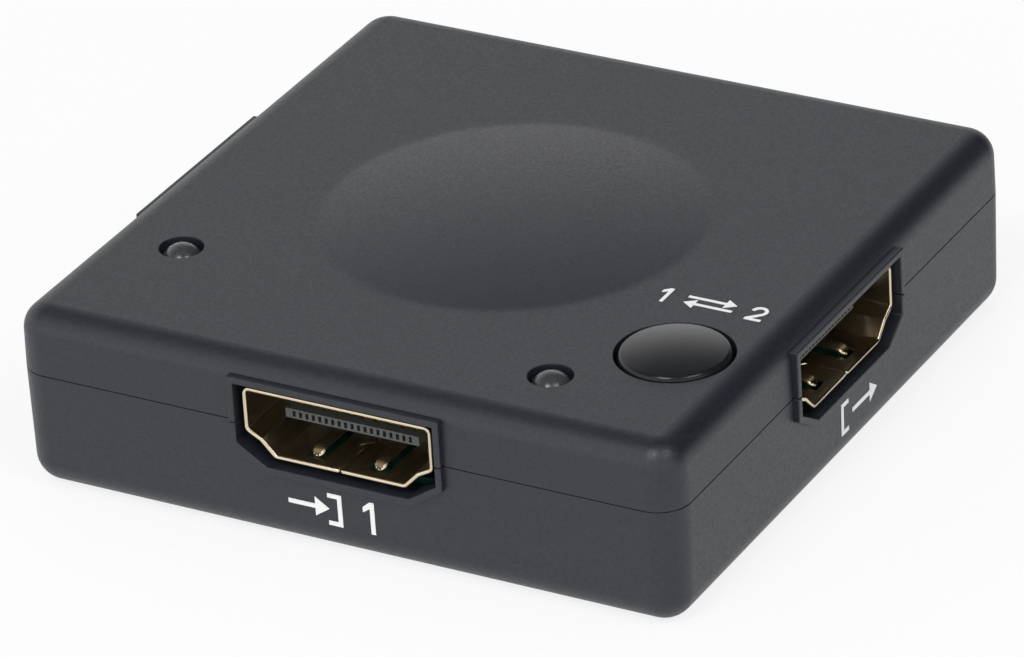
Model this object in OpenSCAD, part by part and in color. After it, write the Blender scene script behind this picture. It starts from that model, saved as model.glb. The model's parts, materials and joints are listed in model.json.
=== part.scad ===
// Video switch box: two input sockets, one output socket, one select button and two indicator lamps.
// Z is up and the rest face is at z = 0. The front, towards -Y, holds input 1, the left side holds
// input 2 and the right side holds the output.

/* [Case] */
// Width of the case across the front, at the parting line
case_w = 51; // [46:0.5:60]
// Depth of the case from front to back, at the parting line
case_d = 51; // [46:0.5:60]
// Height of the flat top above the rest face
case_h = 13.7; // [12.3:0.1:16]
// Thickness of the side walls
wall = 1.6; // [1.4:0.1:1.8]
// Thickness of the roof of the top cover
roof_t = 1.5; // [1.3:0.1:1.6]
// Thickness of the floor of the bottom cover
floor_t = 1.5; // [1.2:0.1:2]
// Radius of the upright corners
corner_r = 2.3; // [2.2:0.1:3]
// Radius of the rounded top edge
top_r = 1.9; // [1:0.1:2.1]
// Radius of the rounded bottom edge
bottom_r = 2.1; // [1:0.1:2.1]
// Draft of the top cover's walls, in degrees
draft_top = 1.1; // [0:0.1:2]
// Draft of the bottom cover's walls, in degrees
draft_bottom = 0.8; // [0:0.1:2]
// Height of the parting line above the circuit board
split_up = 2.45; // [2:0.05:2.8]
// Height of the groove left between the two covers
split_gap = 0.12; // [0.08:0.02:0.2]
// Height of the lip that locates the covers
lip_h = 1; // [0.6:0.1:1.2]
// Thickness of that lip
lip_t = 0.7; // [0.5:0.05:0.8]
// Clearance round the lip
lip_fit = 0.1; // [0.05:0.01:0.15]

/* [Raised disc] */
// Diameter of the low round swelling, as a share of the case's smaller side
disc_share = 0.54; // [0.4:0.001:0.56]
// Rise of the swelling at its middle
disc_rise = 0.9; // [0.4:0.05:1.4]

/* [Circuit board] */
// Room between the sockets and the roof
head_room = 0.55; // [0.45:0.05:0.7]
// Thickness of the board
board_t = 1.6; // [1:0.1:1.6]
// Gap between the board's edge and the case wall
board_gap = 0.4; // [0.3:0.05:0.6]
// Radius of the board's corners
board_r = 1; // [0.5:0.1:2]

/* [Screws] */
// Gap between each screw post and the two nearest case walls
post_gap = 0.2; // [0.1:0.05:0.5]
// Outside diameter of the screw thread
thread_d = 2; // [1.8:0.1:2.2]
// Diameter of the screw head
head_d = 3.6; // [3.2:0.1:3.6]
// Height of the screw head
head_h = 1.3; // [1:0.1:1.4]
// Length of the screw below its head
screw_len = 8; // [7:0.5:9]
// Depth of the counterbore under each screw
recess_h = 2.2; // [1.8:0.1:2.4]
// Outside diameter of the screw posts
post_d = 5; // [4.8:0.1:5.2]
// Clearance round the thread in its pilot bore
thread_fit = 0.04; // [0.02:0.01:0.06]
// Clearance round the thread in the posts and the board
screw_slack = 0.4; // [0.3:0.05:0.6]

/* [Sockets] */
// Width of the socket opening
open_w = 14; // [13.9:0.05:14.2]
// Height of the socket opening
open_h = 4.55; // [4.5:0.05:4.6]
// Thickness of the socket's folded sheet
sheet = 0.3; // [0.25:0.05:0.35]
// Height of the upright sides of the sheet outline
side_h = 3.15; // [3:0.05:3.2]
// Inward step of the sheet outline under each side
ledge_w = 1.1; // [1:0.05:1.2]
// Drop of that step
ledge_drop = 0.6; // [0.5:0.05:0.7]
// Width of the flat bottom of the sheet outline
foot_w = 10; // [9.6:0.1:10.2]
// Set-back of the sheet's front edge behind the case wall
shell_set = 0.1; // [0:0.05:0.3]
// Length of the folded sheet from front to back
shell_len = 11.9; // [11.8:0.1:12.4]
// Set-back of the contact tongue behind the sheet's edge
tongue_set = 2; // [1.8:0.1:2.4]
// Width of the contact tongue
tongue_w = 10.3; // [10.2:0.1:10.6]
// Thickness of the contact tongue
tongue_t = 0.7; // [0.7:0.05:1.1]
// Free length of the contact tongue
tongue_len = 5.4; // [5:0.1:5.6]
// Pitch of the contacts in one row
pin_pitch = 1; // [0.96:0.02:1.02]
// Width of each contact
pin_w = 0.3; // [0.26:0.02:0.34]
// Thickness of each contact
pin_t = 0.2; // [0.16:0.02:0.24]
// Height that each contact stands out of its groove
pin_proud = 0.06; // [0.04:0.01:0.08]
// Inward rise of the spring fingers
finger_rise = 0.5; // [0.4:0.02:0.6]
// Width of the spring fingers
finger_w = 0.95; // [0.8:0.05:1.5]
// Spacing of the two spring fingers in one wall
finger_gap = 4.8; // [4.4:0.1:5]

/* [Collars] */
// Distance that each collar stands out of the wall
rim_out = 0.42; // [0.3:0.02:1]
// Thickness of the collar's rim
rim_t = 0.5; // [0.4:0.02:0.68]
// Gap between the sheet and the collar at the sides
collar_side = 0.38; // [0.3:0.02:0.5]
// Gap between the sheet and the collar at the top
collar_top = 0.35; // [0.3:0.05:0.5]
// Gap between the sheet and the collar at the bottom
collar_low = 0.45; // [0.1:0.05:0.6]

/* [Select button] */
// Diameter of the button cap
cap_d = 7.85; // [7:0.05:8]
// Gap round the cap in its hole
cap_gap = 0.22; // [0.18:0.02:0.3]
// Height of the cap's side above the top
cap_side = 0.15; // [0.1:0.05:0.3]
// Rise of the cap's crown above its side
cap_rise = 0.55; // [0.3:0.05:0.8]
// Radius of the cap's edge
cap_edge = 0.45; // [0.2:0.05:0.6]
// Distance of the button from the right side
button_in = 6.2; // [6.1:0.1:6.4]
// Distance of the button in front of the middle, as a share of the case's depth
button_share = 0.257; // [0.252:0.001:0.26]
// Travel of the button
travel = 0.3; // [0.2:0.05:0.35]

/* [Lamps] */
// Diameter of each lamp's lens
lamp_d = 3; // [2.9:0.05:3.1]
// Gap round the lens in its hole
lamp_gap = 0.08; // [0.06:0.01:0.12]
// Height of the lens tip above the top
lamp_proud = 0.25; // [0:0.05:0.4]
// Distance of each lamp from the side it belongs to
lamp_in = 6.4; // [6.2:0.1:6.8]
// Sideways distance of each lamp from its socket's middle, as a share of that side's length
lamp_share = 0.257; // [0.25:0.001:0.26]

/* [Printed marks] */
// Thickness of the printed ink
ink_t = 0.04; // [0.03:0.01:0.06]
// Height of the printed numbers on the walls, as a share of the flat wall under the collars
ink_share = 0.72; // [0.5:0.01:0.8]
// Height of the printed numbers beside the button
top_ink_h = 1.9; // [1.6:0.1:2]

/* [Hidden] */
$fn = 72;

// Heights, from the roof down
roof_z = case_h - roof_t;
shell_top = roof_z - head_room;
board_top = shell_top - open_h - 2 * sheet;
board_z = board_top - board_t;
split_z = board_top + split_up;
lid_z = split_z + split_gap;

// Inside of the case
in_w = case_w - 2 * wall;
in_d = case_d - 2 * wall;
in_r = max(corner_r - wall, 0.5);

// Low round swelling in the middle of the top
disc_d = disc_share * min(case_w, case_d);

// Screw places
screw_x = in_w / 2 - post_gap - post_d / 2;
screw_y = in_d / 2 - post_gap - post_d / 2;

// Each socket's wall point and turn: input 1, output, input 2
SIDES = [
    [0, -case_d / 2, 0],
    [case_w / 2, 0, 90],
    [-case_w / 2, 0, -90]
];

// Mid-line of the folded sheet, seen from outside, anticlockwise, top at z = 0
mid_w = open_w / 2 + sheet / 2;
mid_h = open_h + sheet;
sheet_line = [
    [-foot_w / 2, -mid_h],
    [foot_w / 2, -mid_h],
    [mid_w - ledge_w, -side_h - ledge_drop],
    [mid_w, -side_h],
    [mid_w, 0],
    [-mid_w, 0],
    [-mid_w, -side_h],
    [-mid_w + ledge_w, -side_h - ledge_drop]
];
sheet_z = shell_top - sheet / 2;

// Depths behind the case wall along one socket
shell_y1 = shell_set + shell_len;
tongue_y = shell_set + tongue_set;
block_y0 = tongue_y + tongue_len;
block_y1 = shell_y1 - 0.9;
tongue_z = board_top + sheet + open_h / 2 + 0.02;
pin_top = tongue_z + tongue_t / 2 + pin_proud;
pin_low = tongue_z - tongue_t / 2 - pin_proud;
PIN_TOP = [for (i = [0:9]) (i - 4.5) * pin_pitch];
PIN_LOW = [for (i = [0:8]) (i - 4) * pin_pitch];
tip_gap = 0.9;
pocket_l = 0.6;
pocket_w = 0.24;
LEGS = [4.6, 9.4];
leg_w = 1.4;
finger_root = 6.6;
finger_nose = 0.9;
low_tip = 1.1;
top_tip = tongue_set + 0.3;

// Inside of the collar
rim_w = mid_w + sheet / 2 + collar_side;
rim_z1 = shell_top + collar_top;
rim_z0 = board_top - collar_low;
rim_knee = 0.95;
rim_line = [
    [-foot_w / 2 - 0.5, rim_z0],
    [foot_w / 2 + 0.5, rim_z0],
    [rim_w, board_top + rim_knee],
    [rim_w, rim_z1],
    [-rim_w, rim_z1],
    [-rim_w, board_top + rim_knee]
];

// Button and the tactile switch under it
button_x = case_w / 2 - button_in;
button_y = -button_share * case_d;
flange_lip = 0.4;
flange_gap = 0.35;
flange_t = 0.75;
flange_z = roof_z - flange_t;
stem_d = 4;
stem_h = 0.4;
stem_z = flange_z - stem_h;
switch_w = 6;
plunger_up = 1;
switch_h = stem_z - plunger_up - board_top;
plate_t = 0.3;
plate_slack = 0.2;
plunger_d = 3.4;
plunger_lip = 0.3;
plunger_lip_h = 0.5;
nub_d = 1.6;
well_d = 4.6;
well_z = board_top + 1.2;
plate_z = board_top + switch_h;
snap_d = well_d - 0.4;
snap_rise = 0.5;
snap_t = 0.1;
snap_gap = 0.02;
pin_row = 4.5;
switch_pin_w = 0.7;
switch_pin_t = 0.26;
switch_pin_out = 0.12;
switch_pin_z = board_top + 1;

// Lamps: [x, y, turn]
LAMPS = [
    [lamp_share * case_w, -case_d / 2 + lamp_in, 0],
    [-case_w / 2 + lamp_in, -lamp_share * case_d, -90]
];
lamp_len = 5.3;
lamp_z1 = case_h + lamp_proud;
lamp_z0 = lamp_z1 - lamp_len;
lamp_rim = 0.4;
lamp_rim_h = 0.9;
lead_w = 0.5;
lead_gap = 2.54;
lead_up = 2.2;
lead_under = 1;
lead_slack = 0.4;
cup_l = 1.5;
cup_w = 0.8;

// Chip and small parts on the board
board_w = in_w - 2 * board_gap;
board_d = in_d - 2 * board_gap;
chip_w = 10;
chip_t = 1;
chip_up = 0.1;
chip_y = 0.064 * board_d;
LEAD_N = 16;
chip_pitch = 0.5;
chip_lead_w = 0.22;
chip_lead_t = 0.14;
chip_lead_l = 1;
reg_w = 6.5;
reg_d = 3.5;
reg_t = 1.6;
reg_up = 0.06;
reg_y = 0.375 * board_d;
reg_pitch = 2.3;
reg_lead_w = 0.7;
reg_tab_w = 3;
reg_lead_t = 0.25;
reg_lead_l = 1.6;
part_l = 1.6;
part_w = 0.8;
end_l = 0.3;
cap_t = 0.8;
res_t = 0.45;
// Places as shares of the board's width and depth, and a turn: capacitors, then resistors
CAPS = [
    [-0.19, 0.26, 0], [-0.26, 0.26, 0], [0.19, 0.26, 0], [0.26, 0.26, 0],
    [-0.17, -0.085, 90], [0.17, -0.085, 90], [-0.17, 0.18, 90], [0.17, 0.18, 90],
    [-0.15, 0.37, 90], [0.15, 0.37, 90]
];
RESISTORS = [
    [-0.26, -0.2, 0], [-0.19, -0.2, 0], [0.19, -0.2, 0], [0.25, -0.2, 0],
    [-0.3, 0.33, 90], [0.3, 0.33, 90], [-0.35, 0.33, 90], [0.35, 0.33, 90]
];

// Printed marks: drawn height and stroke, then their height and place on the walls
draw_h = 2.5;
ink_w = 0.34;
wall_flat = rim_z0 - rim_t - bottom_r;
ink_h = ink_share * wall_flat;
mark_z = bottom_r + (1 - ink_share) * wall_flat / 4;

// Outline helpers

function unit(v) = v / norm(v);
function side_normal(a, b) = let (t = unit(b - a)) [t[1], -t[0]];
function before(p, i) = p[(i + len(p) - 1) % len(p)];
function after(p, i) = p[(i + 1) % len(p)];

// Outline p moved outwards by d
function grow(p, d) = [
    for (i = [0:len(p) - 1])
        let (
            m = side_normal(before(p, i), p[i]),
            n = side_normal(p[i], after(p, i))
        )
        p[i] + d * (m + n) / (1 + m * n)
];

// Outline p with each corner turned into an arc of radius r
function soften(p, r, k = 4) = [
    for (i = [0:len(p) - 1])
        let (
            u = unit(before(p, i) - p[i]),
            v = unit(after(p, i) - p[i]),
            half = acos(u * v) / 2,
            c = p[i] + unit(u + v) * r / sin(half),
            a = c - p[i],
            s = (-u[0] * v[1] + u[1] * v[0]) > 0 ? 1 : -1,
            mid = atan2(-a[1], -a[0]),
            turn = 90 - half
        )
        for (j = [0:k])
            let (w = mid + s * turn * (2 * j / k - 1))
            c + r * [cos(w), sin(w)]
];

module round_rect(w, d, r) {
    square([w - 2 * r, d], center = true);
    square([w, d - 2 * r], center = true);
    for (x = [-1, 1], y = [-1, 1])
        translate([x * (w / 2 - r), y * (d / 2 - r)])
            circle(r);
}

// Upright section of a case edge: draft a on the outside and radius e at the top
module edge_section(r, h, e, a) {
    c = [r - (h - e) * tan(a) - e / cos(a), h - e];
    difference() {
        polygon([[0, 0], [r, 0], [r - h * tan(a), h], [0, h]]);
        difference() {
            polygon([
                c,
                c + 3 * e * [cos(a), sin(a)],
                c + [3 * e, 3 * e],
                c + [0, 3 * e]
            ]);
            translate(c)
                circle(e);
        }
    }
}

// Block with round upright corners, drafted walls and a rounded top edge
module soft_block(w, d, h, r, e, a) {
    for (x = [0, 1], y = [0, 1])
        mirror([x, 0, 0])
            mirror([0, y, 0])
                translate([w / 2 - r, d / 2 - r, 0])
                    rotate_extrude(angle = 90)
                        edge_section(r, h, e, a);
    for (s = [0, 1]) {
        mirror([s, 0, 0])
            translate([w / 2 - r, d / 2 - r, 0])
                rotate([90, 0, 0])
                    linear_extrude(d - 2 * r)
                        edge_section(r, h, e, a);
        mirror([0, s, 0])
            translate([-w / 2 + r, d / 2 - r, 0])
                rotate([90, 0, 90])
                    linear_extrude(w - 2 * r)
                        edge_section(r, h, e, a);
    }
    translate([-w / 2 + r, -d / 2 + r, 0])
        cube([w - 2 * r, d - 2 * r, h]);
}

// Children drawn in x and z, carried along the depth from y0 to y1
module along(y0, y1) {
    translate([0, y1, 0])
        rotate([90, 0, 0])
            linear_extrude(y1 - y0)
                children();
}

// Children drawn in depth and z, carried across the width w about x
module across(x, w) {
    translate([x - w / 2, 0, 0])
        rotate([90, 0, 90])
            linear_extrude(w)
                children();
}

module at_socket(i) {
    translate([SIDES[i][0], SIDES[i][1], 0])
        rotate(SIDES[i][2])
            children();
}

module at_screws() {
    for (x = [-1, 1], y = [-1, 1])
        translate([x * screw_x, y * screw_y, 0])
            children();
}

module at_button() {
    translate([button_x, button_y, 0])
        children();
}

module at_lamp(i) {
    translate([LAMPS[i][0], LAMPS[i][1], 0])
        rotate(LAMPS[i][2])
            children();
}

// Case

module collar(z0, z1) {
    for (i = [0:2])
        at_socket(i)
            intersection() {
                along(-rim_out, wall)
                    polygon(grow(rim_line, rim_t));
                translate([-case_w / 2, -wall, z0])
                    cube([case_w, 3 * wall, z1 - z0]);
            }
}

module socket_holes() {
    for (i = [0:2])
        at_socket(i)
            along(-2 * wall, 2 * wall)
                polygon(rim_line);
}

module top_cover() {
    color("#4b4c4e")
        difference() {
            union() {
                difference() {
                    union() {
                        translate([0, 0, lid_z])
                            soft_block(case_w, case_d, case_h - lid_z, corner_r, top_r, draft_top);
                        raised_disc();
                        collar(lid_z, case_h);
                    }
                    translate([0, 0, split_z - 1])
                        linear_extrude(roof_z - split_z + 1)
                            round_rect(in_w, in_d, in_r);
                    translate([0, 0, split_z - 1])
                        linear_extrude(lip_h + lip_fit + 1)
                            lip_outline(lip_fit);
                    socket_holes();
                }
                at_screws()
                    translate([0, 0, board_top])
                        cylinder(d = post_d, h = roof_z - board_top + roof_t / 3);
            }
            at_screws()
                translate([0, 0, board_top - 1])
                    cylinder(d = thread_d + thread_fit, h = recess_h + screw_len - board_top + 1.4);
            at_button()
                translate([0, 0, roof_z - 1])
                    cylinder(d = cap_d + 2 * cap_gap, h = roof_t + 2);
            for (i = [0, 1])
                at_lamp(i)
                    translate([0, 0, roof_z - 1])
                        cylinder(d = lamp_d + 2 * lamp_gap, h = roof_t + 2);
        }
}

module raised_disc() {
    ball = ((disc_d / 2) ^ 2 + disc_rise ^ 2) / (2 * disc_rise);
    intersection() {
        translate([0, 0, case_h - roof_t / 2])
            cylinder(d = disc_d, h = roof_t / 2 + 2 * disc_rise);
        translate([0, 0, case_h + disc_rise - ball])
            sphere(ball, $fn = 360);
    }
}

module lip_outline(slack) {
    g = 2 * (lip_t + slack);
    round_rect(in_w + g, in_d + g, in_r + g / 2);
}

module bottom_cover() {
    color("#4b4c4e")
        difference() {
            union() {
                difference() {
                    union() {
                        translate([0, 0, split_z])
                            mirror([0, 0, 1])
                                soft_block(case_w, case_d, split_z, corner_r, bottom_r, draft_bottom);
                        translate([0, 0, split_z - lip_h])
                            linear_extrude(2 * lip_h)
                                lip_outline(0);
                        collar(0, split_z);
                    }
                    translate([0, 0, floor_t])
                        linear_extrude(split_z + lip_h)
                            round_rect(in_w, in_d, in_r);
                    socket_holes();
                }
                at_screws()
                    translate([0, 0, floor_t / 2])
                        cylinder(d = post_d, h = board_z - floor_t / 2);
            }
            at_screws() {
                translate([0, 0, -1])
                    cylinder(d = head_d + screw_slack, h = recess_h + 1);
                cylinder(d = thread_d + screw_slack, h = board_z + 1);
            }
        }
}

module case_screws() {
    color("#8d8f92")
        at_screws()
            difference() {
                union() {
                    translate([0, 0, recess_h - head_h])
                        cylinder(d = head_d, h = head_h);
                    translate([0, 0, recess_h])
                        cylinder(d = thread_d, h = screw_len);
                }
                for (a = [0, 90])
                    rotate(a)
                        translate([-head_d * 0.3, -0.25, recess_h - head_h - 1])
                            cube([head_d * 0.6, 0.5, 1.7]);
            }
}

// Circuit board and its parts

module circuit_board() {
    color("#1d5a38")
        difference() {
            translate([0, 0, board_z])
                linear_extrude(board_t)
                    round_rect(board_w, board_d, board_r);
            at_screws()
                translate([0, 0, board_z - 1])
                    cylinder(d = thread_d + screw_slack, h = board_t + 2);
            for (i = [0:2], s = [-1, 1], y = LEGS)
                at_socket(i)
                    translate([s * mid_w - 0.4, y - leg_w / 2 - 0.2, board_z - 1])
                        cube([0.8, leg_w + 0.4, board_t + 2]);
            for (i = [0, 1], s = [-1, 1])
                at_lamp(i)
                    translate([s * lead_gap / 2, 0, board_z - 1])
                        cylinder(d = lead_w * sqrt(2) + lead_slack / 2, h = board_t + 2);
            at_button()
                for (x = [-1, 1], y = [-1, 1])
                    translate([x * (switch_w + switch_pin_t) / 2 + x * switch_pin_out, y * pin_row / 2, board_z - 1])
                        cylinder(d = switch_pin_w + lead_slack, h = board_t + 2);
        }
}

module at_parts(list) {
    for (p = list)
        translate([p[0] * board_w, p[1] * board_d, board_top])
            rotate(p[2])
                children();
}

module part_bodies(list, t) {
    at_parts(list)
        translate([-part_l / 2 + end_l, -part_w / 2, 0])
            cube([part_l - 2 * end_l, part_w, t]);
}

module part_tips(list, t) {
    at_parts(list)
        for (s = [0, 1])
            mirror([s, 0, 0])
                translate([part_l / 2 - end_l, -part_w / 2, 0])
                    cube([end_l, part_w, t]);
}

module capacitors() {
    color("#a98f6c")
        part_bodies(CAPS, cap_t);
}

module resistors() {
    color("#1c1c1e")
        part_bodies(RESISTORS, res_t);
}

module part_ends() {
    color("#c3c4c6") {
        part_tips(CAPS, cap_t);
        part_tips(RESISTORS, res_t);
    }
}

module chip_body() {
    color("#222224")
        translate([-chip_w / 2, chip_y - chip_w / 2, board_top + chip_up])
            cube([chip_w, chip_w, chip_t]);
}

module chip_leads() {
    color("#c3c4c6")
        translate([0, chip_y, board_top])
            for (a = [0:90:270], i = [0:LEAD_N - 1])
                rotate(a)
                    across((i - (LEAD_N - 1) / 2) * chip_pitch, chip_lead_w)
                        bent_lead(chip_w / 2, chip_up + chip_t / 2, chip_lead_l, chip_lead_t);
}

module regulator_body() {
    color("#222224")
        translate([-reg_w / 2, reg_y - reg_d / 2, board_top + reg_up])
            cube([reg_w, reg_d, reg_t]);
}

module regulator_leads() {
    color("#c3c4c6")
        translate([0, reg_y, board_top]) {
            for (x = [-1:1])
                mirror([0, 1, 0])
                    across(x * reg_pitch, reg_lead_w)
                        bent_lead(reg_d / 2, reg_up + reg_t / 2, reg_lead_l, reg_lead_t);
            across(0, reg_tab_w)
                bent_lead(reg_d / 2, reg_up + reg_t / 2, reg_lead_l, reg_lead_t);
        }
}

// Lead leaving a body at y and height z, stepping down to a foot: reach l, thickness t
module bent_lead(y, z, l, t) {
    translate([y, 0])
        polygon([
            [0, z - t], [0, z], [0.36 * l, z], [0.36 * l + t, t],
            [l, t], [l, 0], [0.36 * l, 0], [0.36 * l - t, z - t]
        ]);
}

// Sockets

// Strip of the bottom seam: a straight joint with one dovetail
module seam() {
    P = [[0, -1], [0, 3.1], [-0.45, 3.6], [0.45, 4.5], [0, 5], [0, shell_len]];
    for (i = [0:len(P) - 2])
        let (d = P[i + 1] - P[i])
            translate(P[i])
                rotate(atan2(d[1], d[0]))
                    translate([-0.03, -0.03])
                        square([norm(d) + 0.06, 0.06]);
    polygon([[-0.08, -1], [-0.08, 0], [0, 0.2], [0.08, 0], [0.08, -1]]);
}

// Height of a spring finger above its wall at depth s: up from its tip at y to a crest, then down to its root
function finger_up(s, y) =
    let (c = y + finger_nose, u = (s - c) / (s < c ? finger_nose : finger_root + 0.3 - c))
    finger_rise * (1 - u ^ 2) + (s < c ? 0.05 * u ^ 2 : 0);

// Spring finger in depth and height above the wall it is cut from, with its tip at y
module finger(y) {
    n = 14;
    S = [for (i = [0:n]) y + (finger_root + 0.3 - y) * (i / n) ^ 2];
    polygon(concat(
        [for (i = [0:n]) [S[i], finger_up(S[i], y)]],
        [for (i = [n:-1:0]) [S[i], finger_up(S[i], y) - sheet]]
    ));
}

module finger_slots(y) {
    for (s = [-1, 1])
        translate([s * finger_gap / 2 - finger_w / 2 - 0.2, y - 0.2, -2 * sheet])
            cube([finger_w + 0.4, finger_root - y + 0.2, 3 * sheet]);
}

module fingers(y) {
    for (s = [-1, 1])
        intersection() {
            across(s * finger_gap / 2, finger_w)
                finger(y);
            translate([s * finger_gap / 2, y + finger_w / 2, -2])
                linear_extrude(4)
                    round_tip();
        }
}

// Plan of a spring finger, with its round tip towards the mouth
module round_tip() {
    circle(d = finger_w);
    translate([-finger_w, 0])
        square([2 * finger_w, finger_root]);
}

module socket_shell() {
    union() {
        difference() {
            along(shell_set, shell_y1)
                translate([0, sheet_z])
                    difference() {
                        polygon(soften(grow(sheet_line, sheet / 2), 0.55));
                        polygon(soften(grow(sheet_line, -sheet / 2), 0.25));
                    }
            translate([-open_w, block_y1, board_top - 1])
                cube([2 * open_w, shell_len, pin_top + 0.5 - board_top + 1]);
            translate([0, shell_set, board_top - 1])
                linear_extrude(1 + 2 * sheet)
                    seam();
            translate([0, shell_set, board_top + sheet])
                finger_slots(low_tip);
            translate([0, shell_set, shell_top - sheet])
                mirror([0, 0, 1])
                    finger_slots(top_tip);
        }
        translate([0, shell_set, board_top + sheet])
            fingers(low_tip);
        translate([0, shell_set, shell_top - sheet])
            mirror([0, 0, 1])
                fingers(top_tip);
        for (s = [-1, 1], y = LEGS)
            translate([s * mid_w - sheet / 2, y - leg_w / 2, board_z - 0.5])
                cube([sheet, leg_w, sheet_z - 1 - board_z]);
        translate([-open_w / 2 + 0.3, shell_y1 - sheet, pin_top + 0.5])
            cube([open_w - 0.6, sheet, shell_top - pin_top - 0.5 - sheet / 2]);
    }
}

// Openings for the contacts, in x and z
module pin_slots() {
    for (x = PIN_TOP)
        translate([x - pin_w / 2, pin_top - pin_t])
            square([pin_w, pin_t]);
    for (x = PIN_LOW)
        translate([x - pin_w / 2, pin_low])
            square([pin_w, pin_t]);
}

module socket_insulator() {
    difference() {
        union() {
            along(block_y0, block_y1)
                translate([0, sheet_z])
                    polygon(grow(sheet_line, -sheet / 2 - 0.12));
            along(tongue_y, block_y0 + 1)
                translate([-tongue_w / 2, tongue_z - tongue_t / 2])
                    square([tongue_w, tongue_t]);
        }
        along(tongue_y + pocket_l + 0.1, block_y1 + 1)
            pin_slots();
        along(tongue_y - 1, tongue_y + pocket_l)
            tip_pockets();
    }
}

// Pockets in the front of the tongue, one before each contact's tip, in x and z
module tip_pockets() {
    h = tongue_t - 0.26;
    for (x = concat(PIN_TOP, PIN_LOW))
        translate([x - pocket_w / 2, tongue_z - h / 2])
            square([pocket_w, h]);
}

// Contact strip in depth and height: the bar, the drop and the soldered foot
module pin_side(z0) {
    y0 = tongue_y + tip_gap;
    y1 = block_y1 + 0.5;
    polygon([
        [y0, z0], [y1 - pin_t, z0], [y1 - pin_t, board_top], [y1 + 0.7, board_top],
        [y1 + 0.7, board_top + pin_t], [y1, board_top + pin_t], [y1, z0 + pin_t], [y0, z0 + pin_t]
    ]);
}

module socket_contacts() {
    for (x = PIN_TOP)
        across(x, pin_w)
            pin_side(pin_top - pin_t);
    for (x = PIN_LOW)
        across(x, pin_w)
            pin_side(pin_low);
}

module input_1_shell() {
    color("#cbb98c")
        at_socket(0)
            socket_shell();
}

module input_1_insulator() {
    color("#1a1a1b")
        at_socket(0)
            socket_insulator();
}

module input_1_contacts() {
    color("#d9c27a")
        at_socket(0)
            socket_contacts();
}

module output_shell() {
    color("#cbb98c")
        at_socket(1)
            socket_shell();
}

module output_insulator() {
    color("#1a1a1b")
        at_socket(1)
            socket_insulator();
}

module output_contacts() {
    color("#d9c27a")
        at_socket(1)
            socket_contacts();
}

module input_2_shell() {
    color("#cbb98c")
        at_socket(2)
            socket_shell();
}

module input_2_insulator() {
    color("#1a1a1b")
        at_socket(2)
            socket_insulator();
}

module input_2_contacts() {
    color("#d9c27a")
        at_socket(2)
            socket_contacts();
}

// Select button and tactile switch

// Section of the cap: straight side, rounded edge and a shallow crown
module cap_section() {
    a = cap_d / 2;
    z1 = case_h + cap_side;
    ball = (a ^ 2 + cap_rise ^ 2) / (2 * cap_rise);
    zc = z1 + cap_rise - ball;
    e = [a - cap_edge, zc + sqrt((ball - cap_edge) ^ 2 - (a - cap_edge) ^ 2)];
    u = unit(e - [0, zc]);
    difference() {
        intersection() {
            translate([0, flange_z])
                square([a, case_h]);
            translate([0, zc])
                circle(ball, $fn = 360);
        }
        difference() {
            polygon([e, e + [3, 0], e + [3, 3], e + 3 * u]);
            translate(e)
                circle(cap_edge);
        }
    }
}

module select_button() {
    color("#3c3d3f")
        at_button() {
            rotate_extrude()
                cap_section();
            intersection() {
                translate([0, 0, flange_z])
                    cylinder(d = cap_d + 2 * (cap_gap + flange_lip), h = flange_t);
                translate([button_in - wall - flange_gap - 2 * cap_d, -cap_d, 0])
                    cube([2 * cap_d, 2 * cap_d, case_h]);
            }
            translate([0, 0, stem_z])
                cylinder(d = stem_d, h = stem_h + flange_t / 2);
        }
}

module switch_base() {
    color("#222224")
        at_button()
            difference() {
                translate([-switch_w / 2, -switch_w / 2, board_top])
                    cube([switch_w, switch_w, switch_h - plate_t]);
                translate([0, 0, well_z])
                    cylinder(d = well_d, h = switch_h);
            }
}

module switch_plate() {
    color("#b9bbbe")
        at_button()
            difference() {
                translate([-switch_w / 2, -switch_w / 2, plate_z - plate_t])
                    cube([switch_w, switch_w, plate_t]);
                translate([0, 0, plate_z - 2 * plate_t])
                    cylinder(d = plunger_d + plate_slack, h = 3 * plate_t);
            }
}

module switch_plunger() {
    lip_z = plate_z - plate_t - plunger_lip_h;
    nub_z = well_z + snap_rise + snap_gap;
    color("#2a2a2c")
        at_button()
            union() {
                translate([0, 0, lip_z])
                    cylinder(d = plunger_d, h = stem_z - lip_z);
                translate([0, 0, lip_z])
                    cylinder(d = plunger_d + 2 * plunger_lip, h = plunger_lip_h);
                translate([0, 0, nub_z])
                    cylinder(d = nub_d, h = lip_z - nub_z + plunger_lip_h / 2);
            }
}

module switch_dome() {
    r = snap_d / 2;
    ball = (r ^ 2 + snap_rise ^ 2) / (2 * snap_rise);
    color("#b9bbbe")
        at_button()
            translate([0, 0, well_z])
                rotate_extrude()
                    intersection() {
                        square([r, 2 * snap_rise]);
                        translate([0, snap_rise - ball])
                            difference() {
                                circle(ball, $fn = 720);
                                circle(ball - snap_t, $fn = 720);
                            }
                    }
}

module switch_terminals() {
    color("#c3c4c6")
        at_button()
            for (x = [0, 1], y = [-1, 1])
                mirror([x, 0, 0])
                    switch_pin(y * pin_row / 2);
}

// Switch leg beside the base, bent down through the board
module switch_pin(y) {
    x0 = switch_w / 2;
    x1 = x0 + switch_pin_out;
    x2 = x1 + switch_pin_t;
    z1 = switch_pin_z + switch_pin_t;
    z0 = board_z - lead_under;
    translate([0, y + switch_pin_w / 2, 0])
        rotate([90, 0, 0])
            linear_extrude(switch_pin_w)
                polygon([
                    [x0, switch_pin_z], [x0, z1], [x2, z1],
                    [x2, z0], [x1, z0], [x1, switch_pin_z]
                ]);
}

// Lamps

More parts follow.
